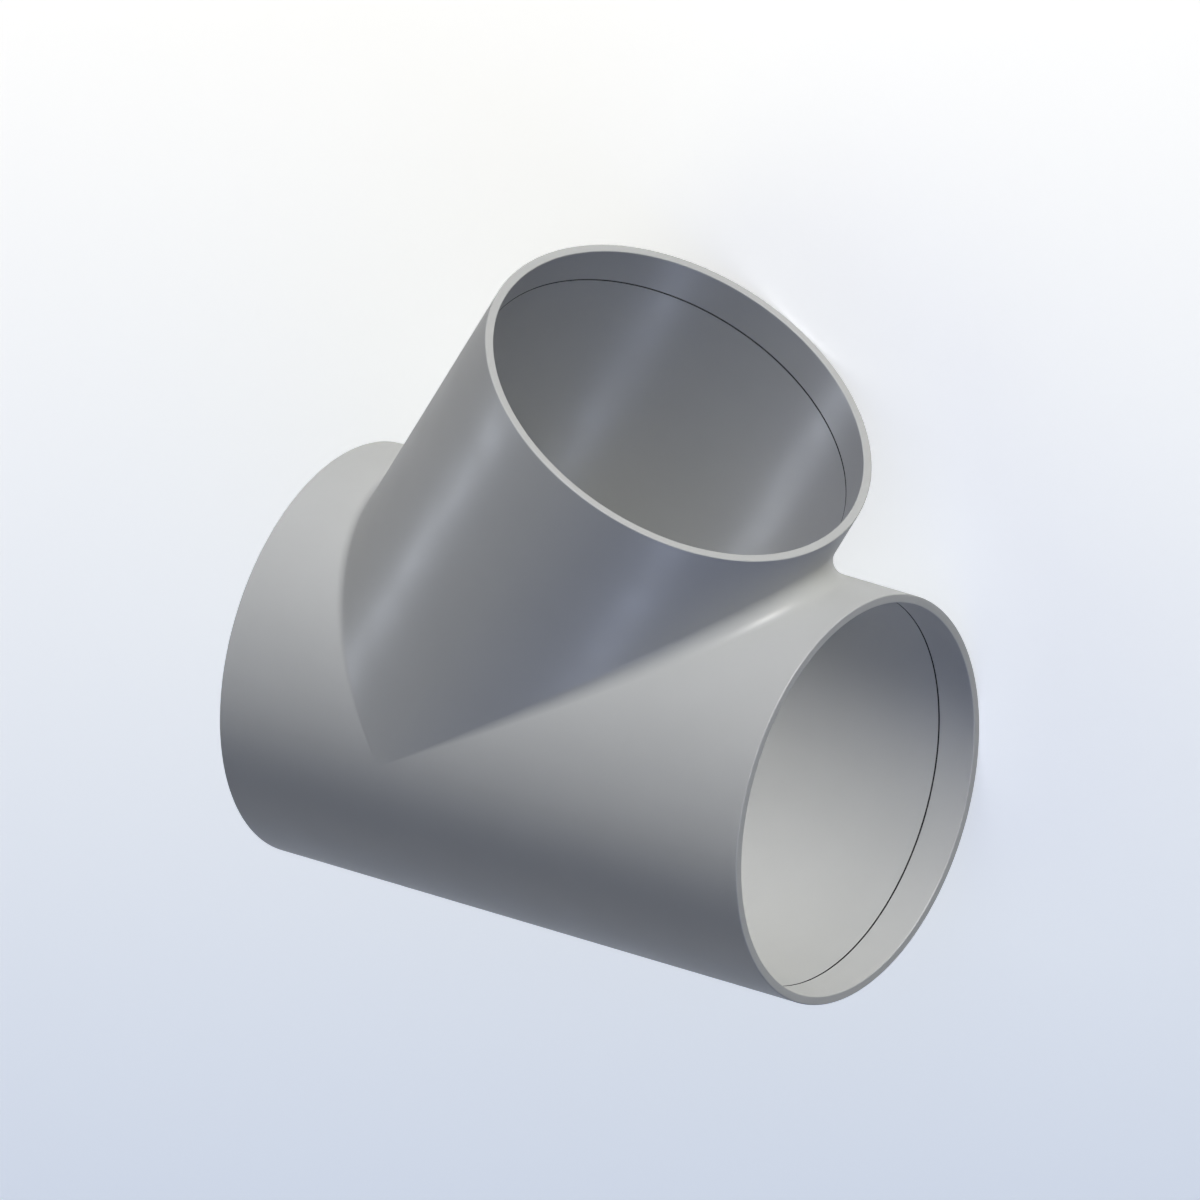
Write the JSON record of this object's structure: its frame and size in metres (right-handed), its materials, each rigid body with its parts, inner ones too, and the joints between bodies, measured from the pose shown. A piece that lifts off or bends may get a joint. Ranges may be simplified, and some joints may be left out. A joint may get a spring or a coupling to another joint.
{
  "type": "pipe branch junction",
  "caption": "Hollow pipe fitting: a straight run and a slanted branch of the same diameter, with filleted creases and a ring line inside each mouth.",
  "frame": {"origin": "centre of the inlet mouth of the run, on the run's axis", "axes": "+X along the run from the inlet mouth to the outlet mouth, +Y in the plane of the two axes towards the branch, +Z square to that plane and up, with the fitting lying flat"},
  "size_m": [0.1786, 0.1973, 0.12],
  "materials": {
    "body": "satin light grey moulding"
  },
  "bodies": {
    "root": {"junction_body": "body"}
  },
  "joints": []
}
